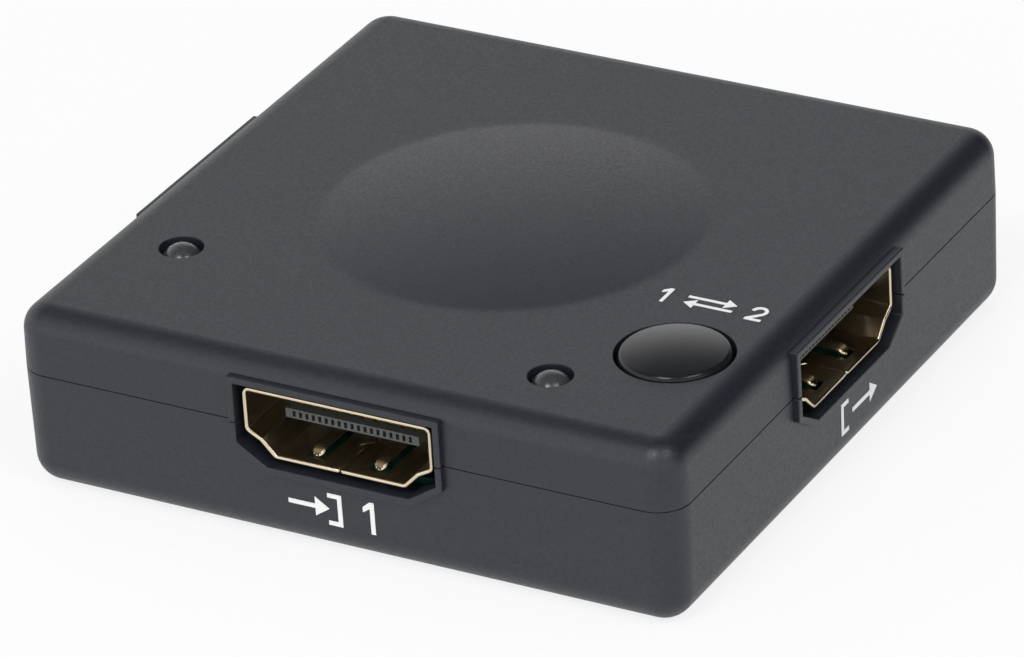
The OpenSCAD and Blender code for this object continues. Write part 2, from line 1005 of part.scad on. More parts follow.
module lead_frame() {
    for (s = [-1, 1])
        translate([s * lead_gap / 2 - lead_w / 2, -lead_w / 2, board_z - lead_under])
            cube([lead_w, lead_w, lamp_z0 + lead_up - board_z + lead_under]);
    translate([-lead_gap / 2, -cup_w / 2, lamp_z0 + lead_up - cup_w])
        cube([cup_l + lead_w / 2, cup_w, cup_w]);
}

module lamp_lens(i) {
    at_lamp(i)
        difference() {
            union() {
                translate([0, 0, lamp_z0])
                    cylinder(d = lamp_d, h = lamp_len - lamp_d / 2);
                translate([0, 0, lamp_z0])
                    cylinder(d = lamp_d + 2 * lamp_rim, h = lamp_rim_h);
                translate([0, 0, lamp_z1 - lamp_d / 2])
                    sphere(d = lamp_d);
            }
            lead_frame();
        }
}

module lamp_1_lens() {
    color("#9a9ca0")
        lamp_lens(0);
}

module lamp_1_leads() {
    color("#c3c4c6")
        at_lamp(0)
            lead_frame();
}

module lamp_2_lens() {
    color("#9a9ca0")
        lamp_lens(1);
}

module lamp_2_leads() {
    color("#c3c4c6")
        at_lamp(1)
            lead_frame();
}

// Printed marks: plain numbers and arrows in place of words

module mark_1() {
    square([ink_w, draw_h]);
    polygon([
        [0, draw_h], [-0.55, draw_h - 0.47],
        [-0.55, draw_h - 0.89], [0, draw_h - 0.52]
    ]);
}

module mark_2() {
    r = draw_h * 0.32;
    translate([0, draw_h - r])
        difference() {
            circle(r);
            circle(r - ink_w);
            polygon([[-2 * r, 0], [0, 0], [r, -r], [r, -2 * r], [-2 * r, -2 * r]]);
        }
    polygon([
        [r * 0.71, draw_h - r * 1.71], [r * 0.42, draw_h - r * 1.42],
        [-r, ink_w], [-r, 0], [-r * 0.35, ink_w * 0.8]
    ]);
    translate([-r, 0])
        square([2 * r, ink_w]);
}

// Arrow pointing along x, with its tip at l
module arrow(l) {
    m = draw_h / 2;
    translate([0, m - ink_w / 2])
        square([l - 0.9, ink_w]);
    polygon([[l, m], [l - 1.1, m + 0.75], [l - 1.1, m - 0.75]]);
}

// Upright bracket that stands for the box
module bracket() {
    square([ink_w, draw_h]);
    square([1.1, ink_w]);
    translate([0, draw_h - ink_w])
        square([1.1, ink_w]);
}

// Ink on the bottom cover's wall below a socket, drawn in x and z
module on_wall(i, z) {
    at_socket(i)
        translate([0, 0, split_z])
            rotate([draft_bottom, 0, 0])
                along(-ink_t, 0)
                    translate([0, z - split_z])
                        scale(ink_h / draw_h)
                            children();
}

module input_mark() {
    translate([-4.2, 0])
        arrow(3.2);
    mirror([1, 0])
        bracket();
}

// Numbers with an arrow each way between them
module select_mark() {
    translate([-4.6, 0])
        mark_1();
    translate([-2.5, 0.55])
        arrow(4.8);
    translate([2.3, -0.55])
        mirror([1, 0])
            arrow(4.8);
    translate([4.6, 0])
        mark_2();
}

module printed_marks() {
    color("#e9eaeb") {
        on_wall(0, mark_z) {
            input_mark();
            translate([2.2, 0])
                mark_1();
        }
        on_wall(2, mark_z) {
            input_mark();
            translate([2.2, 0])
                mark_2();
        }
        on_wall(1, mark_z) {
            translate([-1.2, 0])
                bracket();
            translate([0.5, 0])
                arrow(3.8);
        }
        translate([button_x - 0.8, button_y + cap_d / 2 + cap_gap + 1.8, case_h])
            linear_extrude(ink_t)
                scale(top_ink_h / draw_h)
                    select_mark();
    }
}

top_cover();
bottom_cover();
case_screws();
circuit_board();
input_1_shell();
input_1_insulator();
input_1_contacts();
input_2_shell();
input_2_insulator();
input_2_contacts();
output_shell();
output_insulator();
output_contacts();
select_button();
switch_base();
switch_plate();
switch_plunger();
switch_dome();
switch_terminals();
lamp_1_lens();
lamp_1_leads();
lamp_2_lens();
lamp_2_leads();
chip_body();
chip_leads();
regulator_body();
regulator_leads();
capacitors();
resistors();
part_ends();
printed_marks();
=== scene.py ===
import json
import math
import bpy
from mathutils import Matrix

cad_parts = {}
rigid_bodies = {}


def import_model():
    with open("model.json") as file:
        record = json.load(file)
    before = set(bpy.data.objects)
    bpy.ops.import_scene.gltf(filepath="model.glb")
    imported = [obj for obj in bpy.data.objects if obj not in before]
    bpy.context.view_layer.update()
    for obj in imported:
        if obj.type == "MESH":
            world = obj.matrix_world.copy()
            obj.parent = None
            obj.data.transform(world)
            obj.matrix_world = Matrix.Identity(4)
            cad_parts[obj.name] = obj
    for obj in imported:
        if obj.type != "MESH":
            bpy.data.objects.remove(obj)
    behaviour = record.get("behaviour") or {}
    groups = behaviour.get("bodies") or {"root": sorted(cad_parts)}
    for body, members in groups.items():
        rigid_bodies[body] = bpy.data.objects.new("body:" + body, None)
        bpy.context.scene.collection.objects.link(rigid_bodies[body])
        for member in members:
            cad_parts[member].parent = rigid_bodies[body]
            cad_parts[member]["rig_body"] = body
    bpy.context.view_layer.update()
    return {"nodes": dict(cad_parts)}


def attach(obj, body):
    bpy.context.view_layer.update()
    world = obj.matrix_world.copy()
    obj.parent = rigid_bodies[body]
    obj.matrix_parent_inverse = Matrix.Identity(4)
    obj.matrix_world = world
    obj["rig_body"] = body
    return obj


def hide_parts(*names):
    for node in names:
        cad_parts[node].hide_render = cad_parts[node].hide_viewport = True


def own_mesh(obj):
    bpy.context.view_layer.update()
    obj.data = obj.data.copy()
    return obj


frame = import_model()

from types import SimpleNamespace

import bmesh
import bpy
from bpy.props import FloatProperty, FloatVectorProperty, PointerProperty
from bpy.types import Operator, Panel, PropertyGroup
from mathutils import Matrix, Vector

bl_info = {
    "name": "Video switch box",
    "version": (1, 0, 0),
    "blender": (4, 5, 0),
    "location": "3D View > Sidebar > Switch box",
    "description": "Dresses the covers, sockets, button, lamps and board of a small video switch box",
    "category": "Object",
}

# Each socket's turn from the front about the upright axis, in degrees
SOCKETS = {"input_1": 0, "output": 90, "input_2": -90}

# Draft of the covers' walls, in degrees
TOP_DRAFT, LOW_DRAFT = 1.1, 0.8

# Shapes are built in millimetres, and a finished piece is in metres
MM = 0.001

# Points this close are one: on turned forms and cuts, where a wall's quarters meet, and, in metres,
# along the seams of a solid node
WELD, WALL_WELD, NODE_WELD = 1e-5, 1e-4, 2e-6

# Points this close to a height or to a wall lie on it
LEVEL, SLACK = 1e-4, 1e-3

# Flat left inside the top's rounded edge, radius at which the bottom's flat starts from a corner's
# axis, and length over which an edge of an opening runs along the wall
SLIVER, HUB, LONG = 0.01, 0.02, 1

# The photograph's camera, solved on the outline: degrees, metres, and the focal length in pixels
CAMERA = SimpleNamespace(turn=30.178, lift=28.673, roll=-3.513, distance=0.493059, aim=(0, 0, 0.005024),
                         focal=7057.7, image_w=1024, sensor_w=36, shift=(-0.00921, -0.00365))


def linear(code):
    """An sRGB hex colour as the linear values that shaders take."""
    parts = [int(code[i:i + 2], 16) / 255 for i in (1, 3, 5)]
    return tuple(c / 12.92 if c <= 0.04045 else ((c + 0.055) / 1.055) ** 2.4 for c in parts)


def length(name, description, size):
    """A length in the panel, given here in millimetres."""
    return FloatProperty(name=name, description=description, default=size / 1000, min=0,
                         unit="LENGTH", precision=5)


def colour(name, description, code):
    """A colour in the panel, given here as an sRGB hex code."""
    return FloatVectorProperty(name=name, description=description, default=linear(code),
                               size=3, min=0, max=1, subtype="COLOR")


class SwitchBoxSizes(PropertyGroup):
    """Sizes of the dressed pieces."""
    case_w: length("Case width", "Side of the square case at the parting line", 51)
    case_h: length("Case height", "Flat top above the rest face", 13.7)
    wall: length("Wall", "Thickness of the side walls", 1.6)
    roof: length("Roof", "Thickness of the top cover's roof", 1.5)
    floor: length("Floor", "Thickness of the bottom cover's floor", 1.5)
    corner: length("Corner radius", "Radius of the upright corners", 2.3)
    top_edge: length("Top edge", "Radius of the rounded top edge", 1.88)
    low_edge: length("Bottom edge", "Radius of the rounded bottom edge", 2.1)
    parting: length("Parting line", "Height of the parting line", 8.95)
    groove: length("Groove", "Height of the groove between the covers", 0.055)
    lip_h: length("Lip height", "Height of the locating lip", 1)
    lip_t: length("Lip thickness", "Thickness of the locating lip", 0.7)
    lip_fit: length("Lip clearance", "Clearance round the locating lip", 0.1)
    seam_edge: length("Parting edge", "Rounding of the covers' meeting edges", 0.04)
    disc_r: length("Disc radius", "Radius of the low swelling in the top", 13.77)
    disc_rise: length("Disc rise", "Rise of the swelling at its middle", 0.9)
    disc_edge: length("Disc edge", "Softness of the swelling's edge", 0.6)
    disc_land: length("Disc land", "Flat ring round the swelling", 0.8)
    button_x: length("Button x", "Button's place across the box", 19.3)
    button_back: length("Button y", "Button's place in front of the middle", 13.107)
    cap_r: length("Cap radius", "Radius of the button cap", 3.925)
    cap_gap: length("Cap gap", "Gap round the cap", 0.22)
    cap_side: length("Cap side", "Height of the cap's side above the top", 0.15)
    cap_rise: length("Cap crown", "Rise of the cap's crown", 0.5)
    cap_edge: length("Cap edge", "Rounding of the cap's edge", 0.6)
    flange_t: length("Flange", "Thickness of the flange under the roof", 0.75)
    flange_lip: length("Flange lip", "Reach of the flange past the button's hole", 0.4)
    flange_gap: length("Flange gap", "Gap between the flange's flat and the wall", 0.35)
    flange_edge: length("Flange edge", "Rounding of the flange's and the stem's edges", 0.1)
    stem_r: length("Stem radius", "Radius of the button's stem", 2)
    stem_h: length("Stem height", "Height of the button's stem", 0.4)
    lamp_a: length("Lamp sideways", "Lamp's distance from its socket's middle", 13.107)
    lamp_b: length("Lamp inwards", "Lamp's distance from the middle of the box", 19.1)
    lamp_r: length("Lamp radius", "Radius of each lens", 1.5)
    lamp_gap: length("Lamp gap", "Gap round each lens", 0.08)
    lamp_proud: length("Lamp proud", "Height of each lens above the top", 0.25)
    lamp_h: length("Lamp height", "Height of each lens with its foot", 5.3)
    lamp_rim: length("Lamp rim", "Reach of the rim round each lens's foot", 0.4)
    lamp_rim_h: length("Lamp rim height", "Height of that rim", 0.9)
    lamp_rim_edge: length("Lamp rim edge", "Rounding of that rim", 0.12)
    hole_edge: length("Hole edge", "Rounding of the holes' top edges", 0.05)
    screw_at: length("Screw place", "Screws' distance from the middle, both ways", 21.2)
    post_r: length("Post radius", "Radius of the screw posts in both covers", 2.5)
    low_post: length("Lower posts", "Height at which the bottom cover's posts end", 4.9)
    high_post: length("Upper posts", "Height at which the top cover's posts end", 6.5)
    well_r: length("Counterbore radius", "Radius of the counterbores for the screw heads", 2)
    well_h: length("Counterbore depth", "Depth of the counterbores", 2.2)
    shank_r: length("Shank hole", "Radius of the holes for the screws' shanks", 1.2)
    pilot_r: length("Pilot radius", "Radius of the pilot bores", 1.02)
    pilot_top: length("Pilot top", "Height at which the pilot bores end", 11.6)
    collar_x: length("Collar side", "Inside of the collar's sides from its middle", 7.68)
    collar_top: length("Collar top", "Height of the collar's inside at the top", 12)
    collar_knee: length("Collar knee", "Height at which the collar's sides turn in", 7.45)
    collar_foot: length("Collar foot", "Half the width of the collar's inside at the bottom", 5.5)
    collar_low: length("Collar bottom", "Height of the collar's inside at the bottom", 6.05)
    rim_out: length("Collar reach", "Distance that each collar stands out", 0.42)
    rim_t: length("Collar rim", "Thickness of the collar's rim", 0.5)
    rim_edge: length("Collar edge", "Rounding of the collar's edges", 0.1)
    sheet_edge: length("Sheet edge", "Rounding of the socket sheet's edges", 0.1)
    contact_edge: length("Contact edge", "Rounding of the contacts' edges", 0.03)
    press: length("Press", "Travel of the button and the plunger", 0.3)


class SwitchBoxFinishes(PropertyGroup):
    """Colours of the finishes."""
    case: colour("Case", "Charcoal ABS of the covers", "#1b1e26")
    button: colour("Button", "Charcoal ABS of the button", "#1a1b1e")
    gold: colour("Socket sheet", "Pale gold flash on the socket sheets", "#dccdb2")
    contact: colour("Contacts", "Gold on the contacts", "#d9b76a")
    connector: colour("Connector plastic", "Grey heat-proof plastic", "#4b4f50")
    mask: colour("Board", "Green solder mask", "#0e3f33")
    tin: colour("Tin", "Tinned leads", "#c2c4c6")
    resin: colour("Chip resin", "Black moulding resin", "#232325")
    ceramic: colour("Ceramic", "Tan fired ceramic", "#a98f6c")
    steel: colour("Steel", "Stainless sheet of the switch", "#b9bbbe")
    plunger: colour("Plunger", "Black acetal of the plunger", "#1e1e20")
    epoxy: colour("Lamp epoxy", "Hazy epoxy of the lenses", "#64666a")
    screw: colour("Screws", "Zinc on the screws", "#8d8f92")
    ink: colour("Ink", "White pad-printing ink", "#eeeeef")
    paper: colour("Floor", "Pale studio floor", "#f7f7f7")


def in_mm(context):
    """The panel's sizes in millimetres, in which the shapes are built."""
    group = context.scene.switch_box_sizes
    return SimpleNamespace(**{
        p.identifier: getattr(group, p.identifier) * 1000
        for p in group.bl_rna.properties if p.type == "FLOAT"})


# Shapes


def polyline(bm, points):
    """A line of edges through points: its vertices and its edges."""
    verts = [bm.verts.new(p) for p in points]
    return verts, [bm.edges.new(pair) for pair in zip(verts, verts[1:])]


def round_corners(bm, rounds, segments):
    """Turns corners of a line of edges into arcs: rounds is [(vertex, radius)]."""
    for vert, radius in rounds:
        bmesh.ops.bevel(bm, geom=[vert], offset=radius, affect="VERTICES", segments=segments,
                        profile=0.5, material=-1)


def extrude(bm, edges, step):
    """Carries a line of edges by step and returns the new line."""
    made = bmesh.ops.extrude_edge_only(bm, edges=edges)["geom"]
    verts = [g for g in made if isinstance(g, bmesh.types.BMVert)]
    bmesh.ops.translate(bm, verts=verts, vec=step)
    fresh = set(verts)
    return [g for g in made if isinstance(g, bmesh.types.BMEdge) and fresh.issuperset(g.verts)]


def turned(bm, points, centre, rounds=(), steps=96, segments=4):
    """A turned form: points are (radius, height) pairs spun about an upright axis."""
    made = bmesh.new()
    verts, _ = polyline(made, [(r, 0, z) for r, z in points])
    round_corners(made, [(verts[i], radius) for i, radius in rounds], segments)
    bmesh.ops.spin(made, geom=made.verts[:] + made.edges[:], cent=(0, 0, 0), axis=(0, 0, 1),
                   angle=math.tau, steps=steps, use_merge=True)
    bmesh.ops.remove_doubles(made, verts=made.verts[:], dist=WELD)
    bmesh.ops.translate(made, verts=made.verts[:], vec=(*centre, 0))
    join(bm, made)


def join(bm, other):
    """Adds another mesh to this one and frees it."""
    carrier = bpy.data.meshes.new("carrier")
    other.to_mesh(carrier)
    other.free()
    bm.from_mesh(carrier)
    bpy.data.meshes.remove(carrier)


def fill_level(bm, z):
    """Closes every open edge that lies at height z with one flat sheet."""
    edges = [e for e in bm.edges if e.is_boundary and all(abs(v.co.z - z) < LEVEL for v in e.verts)]
    bmesh.ops.triangle_fill(bm, edges=edges, use_beauty=True, normal=(0, 0, 1))


def dome(radius, z, rise, count):
    """Points of a shallow spherical crown, from its edge to its middle."""
    ball = (radius ** 2 + rise ** 2) / (2 * rise)
    reach = math.asin(radius / ball)
    return [(ball * math.sin(reach * (1 - i / count)),
             z + rise - ball + ball * math.cos(reach * (1 - i / count))) for i in range(count + 1)]


def case_wall(bm, section, outer_edge, s, stops):
    """Carries an upright wall section round the four sides and corners of the case.

    The section's second point is rounded by outer_edge and its third by the parting edge. The straight
    sides are divided at stops.
    """
    axis = s.case_w / 2 - s.corner
    verts, _ = polyline(bm, [(-axis, -axis - r, z) for r, z in section])
    round_corners(bm, [(verts[2], s.seam_edge)], 3)
    round_corners(bm, [(verts[1], outer_edge)], 12)
    edges = bm.edges[:]
    places = [-axis, *stops, axis]
    for a, b in zip(places, places[1:]):
        edges = extrude(bm, edges, (b - a, 0, 0))
    ends = list({v for e in edges for v in e.verts})
    bmesh.ops.spin(bm, geom=ends + edges, cent=(axis, -axis, 0), axis=(0, 0, 1),
                   angle=math.pi / 2, steps=14)
    bmesh.ops.spin(bm, geom=bm.verts[:] + bm.edges[:] + bm.faces[:], cent=(0, 0, 0), axis=(0, 0, 1),
                   angle=1.5 * math.pi, steps=3, use_duplicate=True)
    bmesh.ops.remove_doubles(bm, verts=bm.verts[:], dist=WALL_WELD)


def collar_outline(s, grow=0.0):
    """Right half of the collar's inner outline, seen from outside, grown by a distance."""
    run = Vector((s.collar_x - s.collar_foot, s.collar_knee - s.collar_low))
    slope = run.y / run.x
    drop = grow * run.length / run.x
    return SimpleNamespace(
        z0=s.collar_low - grow, z1=s.collar_top + grow, x1=s.collar_x + grow,
        x0=s.collar_foot + (drop - grow) / slope,
        knee=s.collar_knee - drop + grow * slope)


def cut_sheet(bm, faces, point, normal):
    """Cuts these faces along a plane."""
    geom = list({g for f in faces for g in (f, *f.edges, *f.verts)})
    bmesh.ops.bisect_plane(bm, geom=geom, dist=WELD, plane_co=point, plane_no=normal)


def wall_faces(bm, s, low, high):
    """Faces of the front wall, both skins, between two places across it."""
    inner = -s.case_w / 2 + s.wall + SLACK
    return [f for f in bm.faces
            if low < f.calc_center_median().x < high and all(v.co.y < inner for v in f.verts)]


def open_walls(bm, s, upper):
    """Cuts the three socket openings out of a cover's walls and closes the cut edges."""
    o = collar_outline(s, s.rim_t / 2)
    for turn in SOCKETS.values():
        back = Matrix.Rotation(math.radians(-turn), 4, "Z")
        bmesh.ops.transform(bm, matrix=back, verts=bm.verts[:])
        if upper:
            cut_sheet(bm, wall_faces(bm, s, -o.x1, o.x1), (0, 0, o.z1), (0, 0, 1))
            gone = [f for f in wall_faces(bm, s, -o.x1, o.x1) if f.calc_center_median().z < o.z1]
        else:
            side = (o.knee - o.z0) / (o.x1 - o.x0)
            cut_sheet(bm, wall_faces(bm, s, -o.x0, o.x0), (0, 0, o.z0), (0, 0, 1))
            cut_sheet(bm, wall_faces(bm, s, o.x0, o.x1), (o.x0, 0, o.z0), (-side, 0, 1))
            cut_sheet(bm, wall_faces(bm, s, -o.x1, -o.x0), (-o.x0, 0, o.z0), (side, 0, 1))
            gone = [f for f in wall_faces(bm, s, -o.x1, o.x1)
                    if f.calc_center_median().z > o.z0 + side * max(0, abs(f.calc_center_median().x) - o.x0)]
        bmesh.ops.delete(bm, geom=gone, context="FACES")
        lines = [e for e in bm.edges if e.is_boundary and abs(e.verts[0].co.x - e.verts[1].co.x) > LONG]
        bmesh.ops.bridge_loops(bm, edges=lines)
        bmesh.ops.holes_fill(bm, edges=[e for e in bm.edges if e.is_boundary], sides=0)
        bmesh.ops.transform(bm, matrix=back.inverted(), verts=bm.verts[:])


def half_collars(bm, s, upper):
    """Upper or lower halves of the three collars that frame the sockets."""
    i, o = collar_outline(s), collar_outline(s, s.rim_t)
    if upper:
        z = s.parting + s.groove
        outline = [(o.x1, z), (o.x1, o.z1), (-o.x1, o.z1), (-o.x1, z),
                   (-i.x1, z), (-i.x1, i.z1), (i.x1, i.z1), (i.x1, z)]
    else:
        z = s.parting
        outline = [(o.x1, z), (i.x1, z), (i.x1, i.knee), (i.x0, i.z0), (-i.x0, i.z0), (-i.x1, i.knee),
                   (-i.x1, z), (-o.x1, z), (-o.x1, o.knee), (-o.x0, o.z0), (o.x0, o.z0), (o.x1, o.knee)]
    front = -s.case_w / 2 - s.rim_out
    for turn in SOCKETS.values():
        made = bmesh.new()
        verts, edges = polyline(made, [(x, front, z) for x, z in outline])
        edges.append(made.edges.new((verts[-1], verts[0])))
        face = bmesh.ops.contextual_create(made, geom=edges)["faces"]
        pulled = bmesh.ops.extrude_face_region(made, geom=face)["geom"]
        bmesh.ops.translate(made, verts=[g for g in pulled if isinstance(g, bmesh.types.BMVert)],
                            vec=(0, s.rim_out + s.wall, 0))
        bmesh.ops.recalc_face_normals(made, faces=made.faces[:])
        bmesh.ops.bevel(made, geom=made.edges[:], offset=s.rim_edge, affect="EDGES", segments=3,
                        profile=0.5, material=-1)
        bmesh.ops.rotate(made, verts=made.verts[:], cent=(0, 0, 0),
                         matrix=Matrix.Rotation(math.radians(turn), 3, "Z"))
        join(bm, made)


def finish_piece(bm, name, body, material, node):
    """Turns a mesh in millimetres into a finished piece that rides on a body of the frame."""
    bmesh.ops.recalc_face_normals(bm, faces=bm.faces[:])
    bmesh.ops.scale(bm, vec=(MM, MM, MM), verts=bm.verts[:])
    mesh = bpy.data.meshes.new(name)
    bm.to_mesh(mesh)
    bm.free()
    return dress_mesh(mesh, name, body, material, node, sharp=35)


def dress_mesh(mesh, name, body, material, node, sharp):
    """Makes a mesh a piece that rides on a body and stands for a solid node. sharp is in degrees."""
    if not mesh.polygons:
        raise RuntimeError(f"{name} came out empty")
    mesh.shade_smooth()
    mesh.set_sharp_from_angle(angle=math.radians(sharp))
    mesh.materials.clear()
    mesh.materials.append(material)
    piece = bpy.data.objects.new(name, mesh)
    bpy.context.scene.collection.objects.link(piece)
    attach(piece, body)
    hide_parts(node)
    return piece


def add_weighted_normals(piece):
    """Lets rounded edges shade smoothly into flat faces that stay flat."""
    weighted = piece.modifiers.new("flat faces stay flat", "WEIGHTED_NORMAL")
    weighted.keep_sharp = True


def merged_copy(node, name, material, flat):
    """A copy of a solid node that stands for it, merged where faces are flat to within some degrees."""
    source = frame["nodes"][node]
    bm = bmesh.new()
    bm.from_mesh(source.data)
    bmesh.ops.remove_doubles(bm, verts=bm.verts[:], dist=NODE_WELD)
    bmesh.ops.dissolve_limit(bm, angle_limit=math.radians(flat), verts=bm.verts[:], edges=bm.edges[:])
    mesh = bpy.data.meshes.new(name)
    bm.to_mesh(mesh)
    bm.free()
    return dress_mesh(mesh, name, source["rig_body"], material, node, sharp=30)


def eased_copy(node, name, material, edge):
    """A copy of a solid node with its sharp edges eased, standing for it."""
    piece = merged_copy(node, name, material, flat=1)
    bevel = piece.modifiers.new("eased edges", "BEVEL")
    bevel.width = edge * MM
    bevel.segments = 2
    bevel.limit_method = "ANGLE"
    bevel.angle_limit = math.radians(40)
    bevel.use_clamp_overlap = False
    add_weighted_normals(piece)


def coat_nodes(material, slot, *nodes):
    """Gives solid nodes that keep their shape a finish."""
    for node in nodes:
        mesh = frame["nodes"][node].data
        mesh.materials.clear()
        mesh.materials.append(material)


# Finishes


def add_node(tree, kind, inputs=None, **settings):
    """Adds a node, sets its properties, and sets or links its inputs."""
    made = tree.nodes.new(kind)
    for key, value in settings.items():
        setattr(made, key, value)
    for key, value in (inputs or {}).items():
        if isinstance(value, bpy.types.NodeSocket):
            tree.links.new(value, made.inputs[key])
        else:
            made.inputs[key].default_value = value
    return made


def new_tree(name):
    """A new material and its empty node tree."""
    material = bpy.data.materials.new(name)
    material.use_nodes = True
    material.node_tree.nodes.clear()
    return material, material.node_tree


def shades(base, dark, light):
    """A darker and a lighter shade of a colour, as a shader takes them."""
    return [(*[min(1, c * k) for c in base], 1) for k in (dark, light)]


def surface(name, base, grain, gloss, relief, patch=3.0, tint=(0.9, 1.1), drawn=(1, 1, 1), **shader):
    """A finish whose gloss and relief follow one grain, and whose tint varies in patches.

    grain, patch and relief are in millimetres, gloss and tint are (least, most), drawn stretches the grain.
    """
    material, tree = new_tree(name)
    place = add_node(tree, "ShaderNodeTexCoord").outputs["Object"]
    along = add_node(tree, "ShaderNodeMapping", {"Vector": place, "Scale": drawn})
    grains = add_node(tree, "ShaderNodeTexNoise", {
        "Vector": along.outputs[0], "Scale": 1000 / grain, "Detail": 2.0, "Roughness": 0.65})
    patches = add_node(tree, "ShaderNodeTexNoise", {"Vector": place, "Scale": 1000 / patch, "Detail": 3.0})
    dark, light = shades(base, *tint)
    tinted = add_node(tree, "ShaderNodeMix", {0: patches.outputs[0], 6: dark, 7: light}, data_type="RGBA")
    dull = add_node(tree, "ShaderNodeMapRange", {
        "Value": grains.outputs[0], "From Min": 0.3, "From Max": 0.7, "To Min": gloss[0], "To Max": gloss[1]})
    raised = add_node(tree, "ShaderNodeBump", {
        "Height": grains.outputs[0], "Distance": relief / 1000, "Strength": 0.6})
    coat = add_node(tree, "ShaderNodeBsdfPrincipled", {
        "Base Color": tinted.outputs[2], "Roughness": dull.outputs[0], "Normal": raised.outputs[0], **shader})
    add_node(tree, "ShaderNodeOutputMaterial", {"Surface": coat.outputs[0]})
    return material


def grained_abs(base):
    # ABS moulded in a spark-eroded tool: matt, with fine pits that glitter where an edge turns to the light.
    # The pits are drawn at 0.22 mm, about half as large again as they are, so that they show.
    return surface("abs_spark_eroded", base, 0.22, (0.38, 0.52), 0.012, 0.25, (0.35, 1.65), IOR=1.53)


def smooth_abs(base):
    # ABS moulded in a polished tool under a thin satin lacquer, which holds its reflections back.
    return surface("abs_soft_lacquer", base, 0.7, (0.19, 0.25), 0.0002,
                   **{"IOR": 1.53, "Specular IOR Level": 0.27})


def gold_flash(base):
    # Gold flash over rolled brass sheet: pale and warm, with faint rolling lines across the fold.
    return surface("gold_flash_rolled_sheet", base, 0.12, (0.17, 0.27), 0.004, 0.8, (0.86, 1.04), (1, 1, 5),
                   Metallic=1.0)


def contact_gold(base):
    # Gold plate over drawn bronze strip: brighter and yellower than the sheet.
    return surface("gold_plate_drawn_strip", base, 0.1, (0.22, 0.36), 0.003, 0.5, Metallic=1.0)


def heatproof_plastic(base):
    # Glass-filled polymer: matt grey, with pale fibre flecks drawn out along the flow.
    return surface("glass_filled_polymer", base, 0.12, (0.45, 0.62), 0.01, 0.2, (0.75, 1.3), (1, 0.35, 1),
                   IOR=1.55)


def plated_metal(name, base, gloss):
    # Tinned, zinc-plated or rolled metal: fine drawn streaks and a slightly uneven gloss.
    return surface(name, base, 0.1, gloss, 0.004, 0.9, (0.88, 1.08), (1, 0.15, 1), Metallic=1.0)


def powdery_body(name, base, gloss):
    # Moulded resin, acetal or fired ceramic: dull, with a fine powdery grain.
    return surface(name, base, 0.14, gloss, 0.01, 0.3, (0.85, 1.2), IOR=1.5)


def printed_ink(base):
    # Pad-printed ink: opaque white, slightly thin in spots, matt.
    return surface("pad_print_ink", base, 0.2, (0.5, 0.65), 0.004, 0.15, (0.93, 1.02), IOR=1.48)


def solder_mask(base):
    # Solder mask over glass-epoxy laminate: glossy green with the cloth's weave showing faintly.
    weave_mm, smear_mm, relief = 0.45, 1.2, 0.006
    material, tree = new_tree("solder_mask_on_laminate")
    place = add_node(tree, "ShaderNodeTexCoord").outputs["Object"]
    weave = add_node(tree, "ShaderNodeTexWave", {
        "Vector": place, "Scale": 1000 / (weave_mm * math.tau), "Distortion": 0.6},
        bands_direction="DIAGONAL")
    smears = add_node(tree, "ShaderNodeTexNoise", {"Vector": place, "Scale": 1000 / smear_mm, "Detail": 3.0})
    dark, light = shades(base, 0.75, 1.2)
    tinted = add_node(tree, "ShaderNodeMix", {0: weave.outputs[1], 6: dark, 7: light}, data_type="RGBA")
    dull = add_node(tree, "ShaderNodeMapRange", {"Value": smears.outputs[0], "To Min": 0.18, "To Max": 0.38})
    raised = add_node(tree, "ShaderNodeBump", {
        "Height": weave.outputs[1], "Distance": relief / 1000, "Strength": 0.3})
    coat = add_node(tree, "ShaderNodeBsdfPrincipled", {
        "Base Color": tinted.outputs[2], "Roughness": dull.outputs[0], "Normal": raised.outputs[0],
        "IOR": 1.52})
    add_node(tree, "ShaderNodeOutputMaterial", {"Surface": coat.outputs[0]})
    return material


def hazy_epoxy(base):
    # Cast epoxy with a hazy filler: a soft smoky grey that lets little of the inside show, with dull
    # highlights.
    return surface("cast_epoxy_hazy", base, 0.5, (0.24, 0.3), 0.0003, 1.0, (0.95, 1.03),
                   **{"IOR": 1.54, "Transmission Weight": 0.7})


# Pieces


